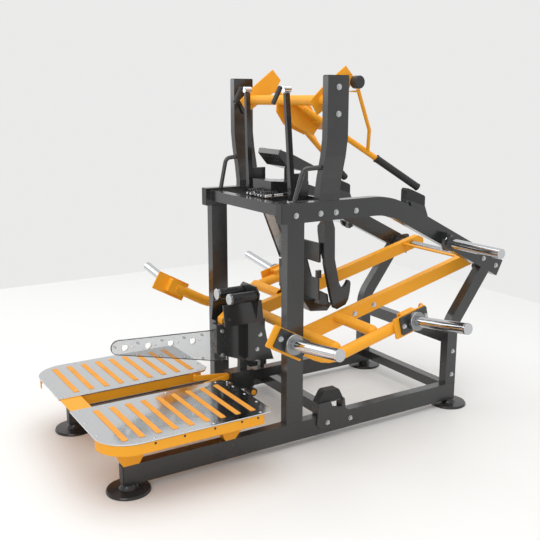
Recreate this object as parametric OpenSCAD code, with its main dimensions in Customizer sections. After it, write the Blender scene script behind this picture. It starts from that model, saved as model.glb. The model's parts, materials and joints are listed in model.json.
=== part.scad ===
// Plate-loaded standing lever machine: side frames, foot platforms, rear-pivoted
// weight lever, handle yoke, swinging safety catch and a pair of strap rollers.
// Millimetres. X is across the machine, Y runs from its open front to the rear, Z is up.
// In the modules Y is counted from the middle of the front feet.

/* [Side frames] */
// Middle of each side frame from the centre plane
side_x = 366; // [340:1:400]
// Width of the frame tube across the machine
tube_w = 50; // [40:1:60]
// Height of the frame tube
tube_h = 90; // [80:1:100]
// Wall of the frame tube
wall = 4; // [3:0.5:6]
// Distance from the front feet to the rear feet
foot_gap = 1842; // [1800:1:1900]
// Radius of the round floor feet
foot_r = 96; // [80:1:100]
// Height of the middle of the top beams
beam_z = 1123; // [1100:1:1150]
// Downward angle of the rear half of the top beams
beam_fall = 27; // [25:0.5:29]

/* [Platforms] */
// Inner edge of each foot plate from the centre plane
plate_in = 80; // [70:1:100]
// Outer edge of each foot plate
plate_out = 540; // [500:1:560]
// Top of the foot plates
plate_z = 286; // [280:1:300]
// Grip strips on each foot plate
strips = 9; // [5:1:10]

/* [Weight lever] */
// Height of the lever's pivot
lever_z = 766; // [760:1:772]
// Distance of each lever arm from the centre plane
arm_x = 245; // [235:1:260]
// Radius of the weight horns
horn_r = 25; // [20:0.5:26]
// Length of the weight horns outside their collars
horn_len = 318; // [250:1:340]

/* [Handle yoke] */
// Height of the yoke's pivot
yoke_z = 1615; // [1605:1:1625]
// Radius of the handle grips
grip_r = 18; // [16:0.5:20]

/* [Hidden] */
$fn = 48;
black = "#3d3e3f";
yellow = "#f7a62b";
chrome = "#d9dbdd";
steel = "#c3c6c9";
rubber = "#2a2a2b";
mid_y = 1011;

rail_z0 = 32;
rail_z = rail_z0 + tube_h / 2;
rail_top = rail_z0 + tube_h;
rail_y0 = -28;
upright_y = 826;
leg_y = 1828;
leg_d = 68;
beam_y0 = 752;
beam_bend_y = 1272;
beam_bend_r = 400;
beam_y1 = 2153;
beam_under = beam_z - tube_h / 2;
inner_x = side_x - tube_w / 2;
outer_x = side_x + tube_w / 2;

plate_y0 = -150;
plate_y1 = 622;
plate_t = 5;
tray_h = 48;
tray_t = 4;
strip_y0 = -50;
strip_pitch = 74;

lever_y = 2072;
lever_slope = 13.8;
arm_w = 40;
arm_h = 66;
arm_tube_y = 955;
side_tube_x = 562;
side_tube_r = 28;
vee_y = 892;
vee_z = 477;
front_horn = [0, 664, 604];
rear_horn = [0, 1352, 602];
flange_x = 594;
horn_tilt = 8;

yoke_y = 1012;
post_x = 421;
post_w = 40;
post_y0 = 954;
post_y1 = 1067;
hook_y = 1103;
hook_z = 1116;
roller_x = 64;
roller_z = 676;
roller_r = 26;
roller_y0 = 672;
roller_y1 = 803;

// ---------------------------------------------------------------- helpers

// Colour of a piece, and its place: Y is moved from the front feet to the middle.
module paint(tone) {
  color(tone) translate([0, -mid_y, 0]) children();
}

// One copy on each side of the centre plane.
module both_sides() {
  children();
  mirror([1, 0, 0]) children();
}

// A side outline, drawn as [y, z] points, made w wide about the plane X = x.
module side_solid(x, w) {
  translate([x - w / 2, 0, 0]) rotate([90, 0, 90]) linear_extrude(w) children();
}

// Box from its lowest corner to its highest one.
module block(low, high) {
  translate(low) cube(high - low);
}

// Round bar from a to b.
module bar(a, b, r) {
  d = b - a;
  translate(a)
    rotate([0, acos(d[2] / norm(d)), atan2(d[1], d[0])])
      cylinder(h = norm(d), r = r);
}

// Round tube in the plane X = 0 with one bend to the left. It runs towards the [y, z]
// corner at the angle heading, straight for before, round the bend, then straight for after.
module bent_tube(corner, heading, turn, before, after, bend, r) {
  inward = heading + 90 + turn / 2;
  centre = corner + bend / cos(turn / 2) * [cos(inward), sin(inward)];
  translate([0, centre[0], centre[1]]) rotate([90, 0, 90]) rotate([0, 0, heading - 90]) {
    rotate_extrude(angle = turn, $fn = 96) translate([bend, 0]) circle(r = r);
    translate([bend, -before, 0]) rotate([-90, 0, 0]) cylinder(h = before, r = r);
    rotate([0, 0, turn]) translate([bend, 0, 0]) rotate([-90, 0, 0])
      cylinder(h = after, r = r);
  }
}

// Where the line from p along d meets the line through q along e.
function meet(p, d, q, e) =
  p + d * ((q - p)[0] * e[1] - (q - p)[1] * e[0]) / (d[0] * e[1] - d[1] * e[0]);

// Rounded rectangle about the origin.
module round_rect(size, r) {
  for (x = [-1, 1], y = [-1, 1])
    translate([x * (size[0] / 2 - r), y * (size[1] / 2 - r)]) circle(r = r);
  square([size[0], size[1] - 2 * r], center = true);
  square([size[0] - 2 * r, size[1]], center = true);
}

// Straight rectangular tube along Z, open at both ends.
module box_tube(size, length) {
  difference() {
    linear_extrude(length) square(size, center = true);
    translate([0, 0, -1]) linear_extrude(length + 2)
      square([size[0] - 2 * wall, size[1] - 2 * wall], center = true);
  }
}

// Points of an arc about c, from angle a0 to a1, in n steps.
function arc(c, r, a0, a1, n) =
  [for (i = [0 : n]) c + r * [cos(a0 + (a1 - a0) * i / n), sin(a0 + (a1 - a0) * i / n)]];

// Hexagon bolt head with a washer, on a face that looks along +Z.
module bolt_head(r = 9) {
  cylinder(h = 2.5, r = r * 1.35);
  translate([0, 0, 2.5]) cylinder(h = 7, r = r, $fn = 6);
}

// Bolt head at [y, z] on a face that looks along +X.
module side_bolt(x, yz, r = 9) {
  translate([x, yz[0], yz[1]]) rotate([0, 90, 0]) bolt_head(r);
}

// ---------------------------------------------------------------- side frames

module floor_feet() paint(black)
  both_sides() for (y = [0, foot_gap]) translate([side_x, y, 0]) {
    rotate_extrude() polygon([[0, 0], [foot_r, 0], [foot_r, 5], [foot_r - 4, 12], [0, 16]]);
    cylinder(h = rail_z0, r = 22);
  }

module rail() paint(black)
  translate([side_x, rail_y0, rail_z]) rotate([-90, 0, 0])
    box_tube([tube_w, tube_h], leg_y + leg_d / 2 - rail_y0);

module front_upright() paint(black)
  translate([side_x, upright_y, rail_z0 + tube_h]) box_tube([tube_w, tube_h],
    beam_under - rail_z0 - tube_h);

fall_dir = [cos(beam_fall), -sin(beam_fall)];
// Side outline of a top beam: level, then an arc, then straight down to the rear.
function beam_outline(half) =
  let (c = [beam_bend_y, beam_z - beam_bend_r],
       knee = c + beam_bend_r * [sin(beam_fall), cos(beam_fall)],
       run = (beam_y1 - knee[0]) / cos(beam_fall),
       fall = [cos(beam_fall), -sin(beam_fall)],
       up = [sin(beam_fall), cos(beam_fall)])
  concat([[beam_y0, beam_z + half]], arc(c, beam_bend_r + half, 90, 90 - beam_fall, 16),
         [knee + run * fall + half * up, knee + run * fall - half * up],
         arc(c, beam_bend_r - half, 90 - beam_fall, 90, 16), [[beam_y0, beam_z - half]]);

module top_beam() paint(black) difference() {
  side_solid(side_x, tube_w) polygon(beam_outline(tube_h / 2));
  side_solid(side_x, tube_w - 2 * wall) polygon(beam_outline(tube_h / 2 - wall));
}

// Side outline of a rear leg: upright from the rail, then leaning back to the beam.
leg_lean = 37;
leg_knee_z = 448;
leg_bend_r = 160;
under_beam = [beam_bend_y, beam_z - beam_bend_r]
  + (beam_bend_r - tube_h / 2) * [sin(beam_fall), cos(beam_fall)];
function leg_outline(half) =
  let (c = [leg_y + leg_bend_r, leg_knee_z - leg_bend_r * tan(leg_lean / 2)],
       lean = [sin(leg_lean), cos(leg_lean)], out = [-cos(leg_lean), sin(leg_lean)],
       far = leg_bend_r + half, near = leg_bend_r - half)
  concat([[leg_y - half, rail_z0 + tube_h]], arc(c, far, 180, 180 - leg_lean, 12),
         [meet(c + far * out, lean, under_beam, fall_dir),
          meet(c + near * out, lean, under_beam, fall_dir)],
         arc(c, near, 180 - leg_lean, 180, 12), [[leg_y + half, rail_z0 + tube_h]]);

module rear_leg() paint(black) difference() {
  side_solid(side_x, tube_w) polygon(leg_outline(leg_d / 2));
  side_solid(side_x, tube_w - 2 * wall) polygon(leg_outline(leg_d / 2 - wall));
}

// Plastic plugs in the open tube ends of the rails and beams.
module tube_caps() paint(rubber) both_sides() {
  block([inner_x + wall, rail_y0 - 3, rail_z0 + wall],
        [outer_x - wall, rail_y0, rail_z0 + tube_h - wall]);
  block([inner_x + wall, leg_y + leg_d / 2, rail_z0 + wall],
        [outer_x - wall, leg_y + leg_d / 2 + 3, rail_z0 + tube_h - wall]);
}

module cross_tube(y0, y1, z0, z1) paint(black)
  translate([-inner_x, (y0 + y1) / 2, (z0 + z1) / 2]) rotate([90, 0, 90])
    box_tube([y1 - y0, z1 - z0], 2 * inner_x);

module lower_crossbars() {
  cross_tube(1055, 1105, 62, 122);
  cross_tube(1798, 1848, 72, 122);
  cross_tube(1800, 1850, 348, 412);
}
module top_crossmember() cross_tube(778, 828, 1104, 1156);

// Tall post that carries the yoke: upright below, set outwards higher up.
post_base_z = 1168;
post_top_z = 1721;
post_set = post_x - side_x;
function post_line(dx) = [[side_x + dx, post_base_z], [side_x + dx, 1200],
  [side_x + dx + post_set * 0.25, 1270], [side_x + dx + post_set * 0.75, 1370],
  [post_x + dx, 1450], [post_x + dx, post_top_z]];
module post_slab(half, y0, y1) translate([0, y1, 0]) rotate([90, 0, 0]) linear_extrude(y1 - y0)
  polygon(concat(post_line(-half), [for (i = [5 : -1 : 0]) post_line(half)[i]]));
module tall_post() paint(black) difference() {
  post_slab(post_w / 2, post_y0, post_y1);
  post_slab(post_w / 2 - wall, post_y0 + wall, post_y1 - wall);
}

bearing_bolt = 58;
guard_bolt_spots = [[638, 512], [638, 388]];
hood_bolt_spots = [[825, 478], [807, 405]];
module frame_bolts() paint(chrome) {
  both_sides() {
    for (y = [upright_y, 959]) side_bolt(outer_x, [y, beam_z - 10], 10);
    for (s = [-1, 1]) side_bolt(outer_x, [hook_y + s * bearing_bolt, hook_z - 4], 10);
    for (s = [-1, 1]) side_bolt(outer_x, [lever_y, lever_z] + s * 54 * fall_dir, 10);
    for (s = [-1, 1]) side_bolt(post_x + post_w / 2, [yoke_y, yoke_z + s * bearing_bolt], 10);
    for (z = [175, 305]) side_bolt(outer_x, [leg_y + 4, z], 9);
    for (p = [[1011, 88], [1149, 81]]) side_bolt(outer_x + 8, p, 9);
    for (p = hood_bolt_spots) side_bolt(hood_x, p, 8);
  }
  for (p = guard_bolt_spots) side_bolt(column_w / 2, p, 8);
}

// ---------------------------------------------------------------- platforms

corner_r = 150;
plate_w = plate_out - plate_in;
// Outline of a foot plate, right side, shrunk by g all round.
module plate_shape(g = 0) {
  r = corner_r - g;
  x0 = plate_in + g;
  x1 = plate_out - g;
  y0 = plate_y0 + g;
  y1 = plate_y1 - g;
  polygon(concat([[x0, y0]], arc([x1 - r, y0 + r], r, -90, 0, 20),
    arc([x1 - 30 + g, y1 - 30 + g], 30 - g, 0, 90, 6), [[x0 + 40, y1], [x0, y1 - 30]]));
}

module foot_plate() paint(steel)
  translate([0, 0, plate_z - plate_t]) linear_extrude(plate_t) plate_shape();

// Folded tray under a foot plate, open at its straight front edge and at the rear, with
// the two brackets that stand on the rail.
tray_front = 393;
module platform_tray() paint(yellow) {
  tray_z = plate_z - plate_t - tray_h;
  difference() {
    translate([0, 0, tray_z]) linear_extrude(tray_h) plate_shape(4);
    translate([0, 0, tray_z - 1]) linear_extrude(tray_h - tray_t + 1) plate_shape(4 + tray_t);
    block([0, plate_y1 - 50, tray_z - 1], [600, plate_y1 + 1, plate_z - plate_t - tray_t]);
    block([0, plate_y0 - 1, tray_z - 1], [tray_front, -98, plate_z - plate_t - tray_t]);
  }
  top = tray_z + tray_h - tray_t;
  difference() {
    side_solid(side_x, tube_w) polygon([[-72, top], [-60, 190], [-27, rail_top], [44, rail_top],
      [61, 150], [61, top]]);
    translate([side_x, 8, 205]) rotate([0, 90, 0]) linear_extrude(60, center = true)
      round_rect([24, 46], 11);
  }
  side_solid(side_x, tube_w) polygon([[436, top], [444, 150], [456, rail_top], [506, rail_top],
    [536, 157], [546, top]]);
}

// Yellow sheet between the two trays at the front, folded down behind.
module platform_bridge() paint(yellow) {
  block([-plate_in - 4, plate_y0 + 8, plate_z - plate_t - 4],
        [plate_in + 4, -46, plate_z - plate_t]);
  block([-plate_in + 1, -50, plate_z - 60], [plate_in - 1, -46, plate_z - plate_t - 4]);
}

// Bent flat bars from the inner walls of the trays to the front of the column's foot.
module platform_braces() paint(yellow) both_sides()
  translate([0, 0, 251]) linear_extrude(26)
    polygon([[plate_in + 4, 536], [66, 519], [50, 522], [4, 683], [12, 683], [56, 532],
      [64, 529], [plate_in + 4, 547]]);

strip_w = 26;
module grip_strips() paint(yellow) both_sides()
  for (i = [0 : strips - 1])
    translate([(plate_in + plate_out) / 2, strip_y0 + i * strip_pitch, plate_z])
      linear_extrude(1.2) round_rect([plate_w - 96, strip_w], 5);

// Dome screws round the edge of each foot plate.
function screw_spots() = concat(
  [for (y = [-118, 0, 300, 560]) [plate_in + 18, y]],
  [for (x = [plate_in + 110, plate_in + 220, plate_in + 330]) [x, plate_y1 - 16]],
  [for (y = [60, 330, 560]) [plate_out - 18, y]],
  [[plate_in + 160, plate_y0 + 16], [plate_in + 300, plate_y0 + 18]]);
module plate_screws() paint(chrome) both_sides()
  for (p = screw_spots()) translate([p[0], p[1], plate_z])
    rotate_extrude($fn = 16) polygon([[0, 0], [7, 0], [6, 2], [3.5, 3.2], [0, 3.6]]);

// ---------------------------------------------------------------- centre column

column_w = 50;
column_rear = 884;
// Bar between the platforms, the block the column stands on, and the tie to the rear.
module centre_bar() paint(black) {
  block([-25, -46, 200], [25, 683, 250]);
  block([-36, 683, 194], [36, 810, 288]);
  block([-25, 810, 226], [25, 1056, 276]);
  block([-40, 1056, rail_top], [40, 1064, 276]);
  side_solid(0, 28) polygon([[744, 288], [784, 288], [784, 332.2], [744, 347.1]]);
  block([-14, 862, 276], [14, column_rear, 330]);
  // Stop knob under the block.
  block([-14, 782, 151], [14, 812, 194]);
  bar([14, 797, 172], [58, 797, 172], 21);
}

module strap_column() paint(black) {
  side_solid(0, column_w) polygon([[608, 398], [790, 330], [column_rear, 330],
    [column_rear, 541], [608, 545]]);
}

guard_t = 10;
guard_x = -column_w / 2 - guard_t / 2;
guard_holes = [[157, 494], [272, 485], [388, 477], [504, 469]];
module column_guard() paint([0.8, 0.82, 0.84, 0.45]) difference() {
  side_solid(guard_x, guard_t)
    polygon(concat(arc([124, 500], 34, 90, 250, 16), [[619, 348], [690, 340], [690, 500]]));
  for (h = guard_holes) {
    translate([guard_x, h[0], h[1]]) rotate([0, 90, 0])
      cylinder(h = 2 * guard_t, r = 16, center = true);
    translate([guard_x, h[0] + 36, h[1]]) rotate([0, 90, 0])
      cylinder(h = 2 * guard_t, r = 5, center = true);
  }
}

// Hood round the column: upright side plates, sloping shoulders that carry the rollers'
// pins, and an end plate behind.
hood_x = 75;
hood_t = 6;
shoulder_x = 55;
shoulder_z = 648;
module roller_housing() paint(black) {
  both_sides() {
    side_solid(hood_x - hood_t / 2, hood_t) polygon([[757, 352], [905, 336], [866, 452],
      [846, 545], [757, 545]]);
    translate([0, 846, 0]) rotate([90, 0, 0]) linear_extrude(216)
      polygon([[column_w / 2, 545], [hood_x, 545], [shoulder_x, shoulder_z],
        [shoulder_x - hood_t, shoulder_z], [hood_x - hood_t - 1, 551], [column_w / 2, 551]]);
    block([column_w / 2, 757, 352], [hood_x - hood_t, 763, 545]);
  }
  translate([0, 812, 0]) rotate([90, 0, 0]) linear_extrude(6)
    polygon([[hood_x - 2, 551], [98, 692], [64, 722], [-64, 722], [-98, 692], [2 - hood_x, 551]]);
}

// Yellow guide block for the strap, on top of the column.
module strap_block() paint(yellow)
  side_solid(0, 44) polygon([[640, 545], [760, 545], [760, 596], [676, 600], [640, 572]]);

module roller_pins() paint(steel) both_sides() {
  bar([roller_x, roller_y0 - 13, roller_z], [roller_x, 806, roller_z], 6);
  bar([roller_x, roller_y0 - 13, roller_z], [roller_x, roller_y0 - 3, roller_z], 28);
}

module strap_roller() paint(rubber) difference() {
  bar([roller_x, roller_y0, roller_z], [roller_x, roller_y1, roller_z], roller_r);
  bar([roller_x, roller_y0 - 1, roller_z], [roller_x, roller_y1 + 1, roller_z], 6.05);
}

// ---------------------------------------------------------------- masts and handles

// J-shaped handles on the top beams, open to the rear.
module grab_handles() paint(black) both_sides()
  translate([351, 841, 0]) rotate([0, 0, -18])
    bent_tube([42, 1316], 184, 70.6, 62, 132, 36, 11);

// Slim masts that lean a little to the front, narrower above their feet.
mast_x = 196;
mast_top = [181, 907, 1650];
module mast_bars() paint(black) both_sides() {
  translate([0, 941, 1156]) rotate([92.6, 0, 0]) linear_extrude(24)
    polygon([[mast_x - 16, 0], [mast_x + 16, 0], [mast_x + 8, 180], [mast_top[0] + 10, 494],
      [mast_top[0] - 10, 494], [mast_x - 14, 180]]);
  // Feet bolted between the beams.
  block([mast_x - 8, 914, 1150], [mast_x + 8, 1016, 1200]);
  block([mast_x - 8, 944, 1200], [mast_x + 8, 1016, 1278]);
}

module mast_pins() paint(chrome) both_sides()
  bar([mast_top[0], 890, mast_top[2] + 15], [mast_top[0], 926, mast_top[2] + 15], 15);

// Sloping plate and spring cover between the masts.
module chest_plate() paint(black) {
  side_solid(0, 190) polygon([[925, 1385], [1008, 1356], [1122, 1302], [1114, 1286],
    [1064, 1276], [968, 1302], [917, 1362]]);
  both_sides() side_solid(78, 16) polygon([[1066, 1224], [1096, 1224], [1096, 1282.4],
    [1066, 1276.4]]);
}

module spring_cover() paint(black) {
  side_solid(0, 170) polygon([[882, 1236], [1040, 1224], [1100, 1224], [1100, 1170],
    [1040, 1170], [882, 1190]]);
  both_sides() {
    block([40, 828, 1134], [70, 1020, 1156]);
    block([85, 990, 1172], [mast_x - 8, 1012, 1222]);
  }
  block([-inner_x, 1020, 1133], [inner_x, 1040, 1170]);
}

rest_x = 311;
module handle_rests() paint(rubber) both_sides()
  side_solid(rest_x, 42) polygon([[1521, 1132], [1521, 1179], [1530, 1188], [1551, 1181],
    [1637, 1146], [1645, 1138], [1645, 1093]]);

module rest_brackets() paint(black) both_sides() {
  side_solid(rest_x, 42) polygon([[1521, 1132], [1645, 1093], [1668, 1040], [1632, 1022],
    [1560, 1062], [1521, 1100]]);
  side_solid(rest_x + 25, 8) polygon([[1540, 1120], [1640, 1090], [1660, 1040], [1632, 1022],
    [1560, 1062]]);
}

module lever_bumpers() paint(rubber) both_sides()
  side_solid(side_x, 46) polygon([[964, 193], [992, 240], [1004, 248], [1078, 246], [1088, 238],
    [1110, 193]]);

// Arched brackets that carry the bumpers, bolted to the rails' outer faces.
module bumper_brackets() paint(black) both_sides() {
  block([inner_x, 962, 185], [outer_x, 1114, 193]);
  block([inner_x, 1106, rail_top], [outer_x, 1114, 185]);
  block([inner_x, 962, rail_top], [outer_x, 972, 185]);
  side_solid(outer_x + 4, 8) polygon([[950, 84], [960, 193], [1030, 193], [1040, 166],
    [1098, 150], [1104, 193], [1114, 193], [1120, 140], [1185, 96], [1182, 64], [975, 56]]);
}

// Two-bolt flange bearings: yoke, catch and lever pivots.
bearing_t = 14;
flange_r = 40;
ear_r = 15;
ear_a = asin((flange_r - ear_r) / bearing_bolt);
module bearing(x, yz, turn, bore) translate([x - bearing_t, yz[0], yz[1]])
  rotate([0, 90, 0]) rotate([0, 0, turn]) difference() {
    linear_extrude(bearing_t) {
      circle(r = flange_r);
      for (s = [-1, 1]) translate([s * bearing_bolt, 0]) circle(r = ear_r);
      for (s = [-1, 1]) polygon([s * flange_r * [sin(ear_a), cos(ear_a)],
        s * ([bearing_bolt, 0] + ear_r * [sin(ear_a), cos(ear_a)]),
        s * ([bearing_bolt, 0] + ear_r * [sin(ear_a), -cos(ear_a)]),
        s * flange_r * [sin(ear_a), -cos(ear_a)]]);
    }
    translate([0, 0, -1]) cylinder(h = bearing_t + 2, r = bore);
  }
module pivot_bearings() paint(black) both_sides() {
  bearing(inner_x, [lever_y, lever_z], 90 + beam_fall, 20.05);
  bearing(inner_x, [hook_y, hook_z], 90, 15.05);
  bearing(post_x - post_w / 2, [yoke_y, yoke_z], 0, 18.05);
}

storage_y = 1737;
storage_z = 908;
module storage_brackets() paint(black) both_sides() {
  side_solid(outer_x + 20, 40) polygon([[1700, 930], [1716, 962], [1774, 934], [1758, 880],
    [1724, 866]]);
  bar([outer_x + 40, storage_y, storage_z], [outer_x + 58, storage_y, storage_z], 40);
}

// Sleeve that a weight plate slides onto, along +X from its collar, with an end cap.
module horn(length, collar = 0) {
  if (collar > 0) rotate([0, 90, 0]) cylinder(h = collar, r = 43);
  translate([collar, 0, 0]) rotate([0, 90, 0]) cylinder(h = length, r = horn_r);
}

module storage_horns() paint(chrome) both_sides()
  translate([outer_x + 58, storage_y, storage_z]) horn(horn_len);

// ---------------------------------------------------------------- weight lever

arm_dir = [cos(lever_slope), sin(lever_slope)];
arm_up = [-sin(lever_slope), cos(lever_slope)];
arm_len = (lever_y - arm_tube_y) / cos(lever_slope);
// Points along the lever arm: s before the pivot, t above its middle line.
function on_arm(s, t) = [lever_y, lever_z] - s * arm_dir + t * arm_up;
cross_front = [arm_tube_y - 6, 518];
cross_rear = [1160, 564];
cross_r = 27;

module lever_arm() paint(yellow) {
  difference() {
    side_solid(arm_x, arm_w) polygon([on_arm(arm_len + 10, -arm_h / 2), on_arm(-78, -arm_h / 2),
      on_arm(-92, -arm_h / 2 + 20), on_arm(-92, 8), on_arm(-60, arm_h / 2),
      on_arm(arm_len - 10, arm_h / 2), on_arm(arm_len + 10, 14)]);
    side_solid(arm_x, arm_w - 2 * wall) polygon([on_arm(arm_len + 40, wall - arm_h / 2),
      on_arm(60, wall - arm_h / 2), on_arm(60, arm_h / 2 - wall),
      on_arm(arm_len + 40, arm_h / 2 - wall)]);
    translate([arm_x, lever_y, lever_z]) rotate([0, 90, 0])
      cylinder(h = arm_w + 2, r = 20, center = true);
    translate([0, cross_front[0], cross_front[1]]) rotate([0, 90, 0])
      cylinder(h = 900, r = cross_r, center = true);
  }
}

module lever_shaft() paint(steel) {
  bar([-inner_x + 1, lever_y, lever_z], [inner_x - 1, lever_y, lever_z], 20);
}

module cross_pipe(x0, x1, yz) difference() {
  bar([x0, yz[0], yz[1]], [x1, yz[0], yz[1]], cross_r);
  bar([x0 - 1, yz[0], yz[1]], [x1 + 1, yz[0], yz[1]], cross_r - wall);
}
module lever_cross_tubes() paint(yellow) {
  cross_pipe(-side_tube_x + side_tube_r - 3, side_tube_x - side_tube_r + 3, cross_front);
  both_sides() cross_pipe(arm_x + arm_w / 2, side_tube_x - side_tube_r + 3, cross_rear);
  block([-arm_x + arm_w / 2, 2000, 766], [arm_x - arm_w / 2, 2030, 774]);
}

// Side tubes: a shallow V, low in the middle, with a round bend.
vee_rear = 470;
vee_front = 265;
vee_angle = 29;
vee_bend = 200;
vee_turn = vee_angle + lever_slope;
vee_centre = [vee_y, vee_z] + vee_bend / cos(vee_turn / 2)
  * [cos(90 + (lever_slope - vee_angle) / 2), sin(90 + (lever_slope - vee_angle) / 2)];
vee_points = concat([[vee_y, vee_z] + vee_front * [-cos(vee_angle), sin(vee_angle)]],
  arc(vee_centre, vee_bend, 270 - vee_angle, 270 + lever_slope, 4),
  [[vee_y, vee_z] + vee_rear * arm_dir]);
module lever_side_tubes() paint(yellow) both_sides() translate([side_tube_x, 0, 0]) {
  for (i = [0 : 5]) bar([0, vee_points[i][0], vee_points[i][1]],
    [0, vee_points[i + 1][0], vee_points[i + 1][1]], side_tube_r);
  for (i = [1 : 5]) translate([0, vee_points[i][0], vee_points[i][1]])
    sphere(r = side_tube_r + 0.2);
}

// Frame of a horn: its middle, and its plates' turn about X.
module at_horn(spot, turn) translate([flange_x, spot[1], spot[2]]) rotate([turn, 0, 0]) children();
horn_spots = [[front_horn, -vee_angle], [rear_horn, lever_slope]];
horn_plate = [164, 88];

module horn_slab(x0, x1, size) translate([x0, 0, 0]) rotate([90, 0, 90])
  linear_extrude(x1 - x0) round_rect(size, 6);

module horn_flanges() paint(yellow) both_sides()
  for (h = horn_spots) at_horn(h[0], h[1]) {
    translate([0, -14, -4]) horn_slab(0, 9, horn_plate + [34, 14]);
    horn_slab(-50, 0, [92, 74]);
  }

module horn_plates() paint(black) both_sides()
  for (h = horn_spots) at_horn(h[0], h[1]) horn_slab(9, 19, horn_plate);

module lever_bolts() paint(chrome) both_sides() {
  for (s = [705, 830]) side_bolt(arm_x + arm_w / 2, on_arm(s, -2), 10);
  for (h = horn_spots) at_horn(h[0], h[1]) for (y = [-66, 66])
    translate([19, y, 0]) rotate([0, 90, 0]) bolt_head(9);
}

module weight_horns() paint(chrome) both_sides()
  for (h = horn_spots) translate([flange_x + 19, h[0][1], h[0][2]])
    rotate([0, -horn_tilt, 0]) horn(horn_len, 26);

// ---------------------------------------------------------------- safety catch

catch_x = 196;
catch_t = 22;
module catch_shaft() paint(steel)
  bar([-inner_x + 1, hook_y, hook_z], [inner_x - 1, hook_y, hook_z], 15);

module catch_arms() paint(black) both_sides() {
  difference() {
    side_solid(catch_x, catch_t) polygon([[1078, 1146], [1078, 1080], [1120, 1010], [1120, 826],
      [1144, 723], [1167, 632], [1182, 592], [1198, 584], [1252, 602], [1268, 625], [1277, 664],
      [1281, 706], [1279, 718], [1272, 726], [1265, 724], [1260, 714], [1249, 699], [1241, 693],
      [1234, 691], [1226, 693], [1221, 698], [1209, 720], [1180, 846], [1177, 1000],
      [1150, 1080], [1130, 1146]]);
    translate([catch_x, hook_y, hook_z]) rotate([0, 90, 0])
      cylinder(h = catch_t + 2, r = 15, center = true);
  }
  // Forward flange that tapers downwards.
  translate([0, 1120, 0]) rotate([90, 0, 0]) linear_extrude(6)
    polygon([[207, 844], [207, 1050], [185, 1050], [146, 1010], [146, 985], [162, 912],
      [190, 850]]);
}

module catch_plates() paint(black) {
  catch_in = catch_x - catch_t / 2;
  block([-catch_in, 1098, 832], [catch_in, 1110, 928]);
  translate([0, 1106, 0]) rotate([90, 0, 0]) linear_extrude(8)
    polygon([[-74, 832], [74, 832], [116, 750], [catch_in - 3, 750], [catch_in - 3, 640],
      [3 - catch_in, 640], [3 - catch_in, 750], [-116, 750]]);
  both_sides() block([162, 1094, 750], [178, 1120, 790]);
  side_solid(0, 2 * catch_in)
    polygon([[1106, 690], [1156, 664], [1166, 600], [1158, 594], [1106, 618]]);
  side_solid(0, 200)
    polygon([[1066, 624], [1110, 562], [1214, 550], [1238, 575], [1238, 590], [1106, 624]]);
}

// ---------------------------------------------------------------- handle yoke

yoke_r = 24;
yoke_arm_x = 317;
// The handles lie in a plane that falls to the rear, fanning out from the tube.
handle_end = [305, 1614, 1186];
handle_dir = [-0.41, -1, 0.72];
function on_handle(t) = handle_end + t * handle_dir;
grip_len_t = 205;

module yoke_tube() paint(yellow) {
  bar([-360, yoke_y, yoke_z], [360, yoke_y, yoke_z], yoke_r);
  bar([-post_x + post_w / 2 + 1, yoke_y, yoke_z], [post_x - post_w / 2 - 1, yoke_y, yoke_z], 18);
}

module yoke_arms() paint(yellow) difference() {
  both_sides() {
    side_solid(yoke_arm_x, 8) polygon([[984, 1551], [944, 1613], [1008, 1671], [1138, 1769],
      [1188, 1716], [1150, 1656]]);
    bar([yoke_arm_x + 4, 1128, 1690], [yoke_arm_x + 26, 1128, 1690], 12);
    side_solid(yoke_arm_x + 30, 8) polygon([[1106, 1732], [1150, 1732], [1202, 1672],
      [1190, 1650], [1106, 1655]]);
  }
  side_solid(yoke_arm_x + 30, 8) polygon([[1106, 1732], [1245, 1720], [1190, 1660], [1106, 1655]]);
  translate([0, yoke_y, yoke_z]) rotate([0, 90, 0]) cylinder(h = 900, r = yoke_r, center = true);
}

module yoke_handles() paint(yellow) {
  both_sides() {
    bar(on_handle(grip_len_t), on_handle(545), 14);
    bar([yoke_arm_x + 30, 1190, 1664], [262, 1330, 1474], 9);
    translate([262, 1330, 1474]) sphere(r = 9.2);
    bar([262, 1330, 1474], on_handle(245), 9);
  }
  // Gusset that joins both handles to the tube.
  translate([0, yoke_y + 20, yoke_z - 18]) rotate([-35.8, 0, 0]) linear_extrude(8)
    polygon([[-60, 0], [60, 0], [118, 150], [90, 215], [-90, 215], [-118, 150]]);
}

module yoke_knobs() paint(rubber)
  bar([yoke_arm_x + 34, 1169, 1696], [yoke_arm_x + 68, 1169, 1696], 29);

module handle_grips() paint(rubber) both_sides()
  bar(on_handle(0), on_handle(grip_len_t), grip_r);

// ---------------------------------------------------------------- drawing

module left_of() mirror([1, 0, 0]) children();

floor_feet();
left_of() rail();  // rail_left
rail();  // rail_right
left_of() front_upright();  // front_upright_left
front_upright();  // front_upright_right
left_of() top_beam();  // top_beam_left
top_beam();  // top_beam_right
left_of() rear_leg();  // rear_leg_left
rear_leg();  // rear_leg_right
tube_caps();
lower_crossbars();
top_crossmember();
left_of() tall_post();  // tall_post_left
tall_post();  // tall_post_right
frame_bolts();
left_of() platform_tray();  // platform_tray_left
platform_tray();  // platform_tray_right
platform_bridge();
platform_braces();
left_of() foot_plate();  // foot_plate_left
foot_plate();  // foot_plate_right
grip_strips();
plate_screws();
centre_bar();
strap_column();
column_guard();
roller_housing();
strap_block();
roller_pins();
left_of() strap_roller();  // roller_left
strap_roller();  // roller_right
grab_handles();
mast_bars();
mast_pins();
chest_plate();
spring_cover();
handle_rests();
rest_brackets();
lever_bumpers();
bumper_brackets();
pivot_bearings();
storage_brackets();
storage_horns();
left_of() lever_arm();  // lever_arm_left
lever_arm();  // lever_arm_right
lever_shaft();
lever_cross_tubes();
lever_side_tubes();
horn_flanges();
horn_plates();
weight_horns();
lever_bolts();
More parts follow.
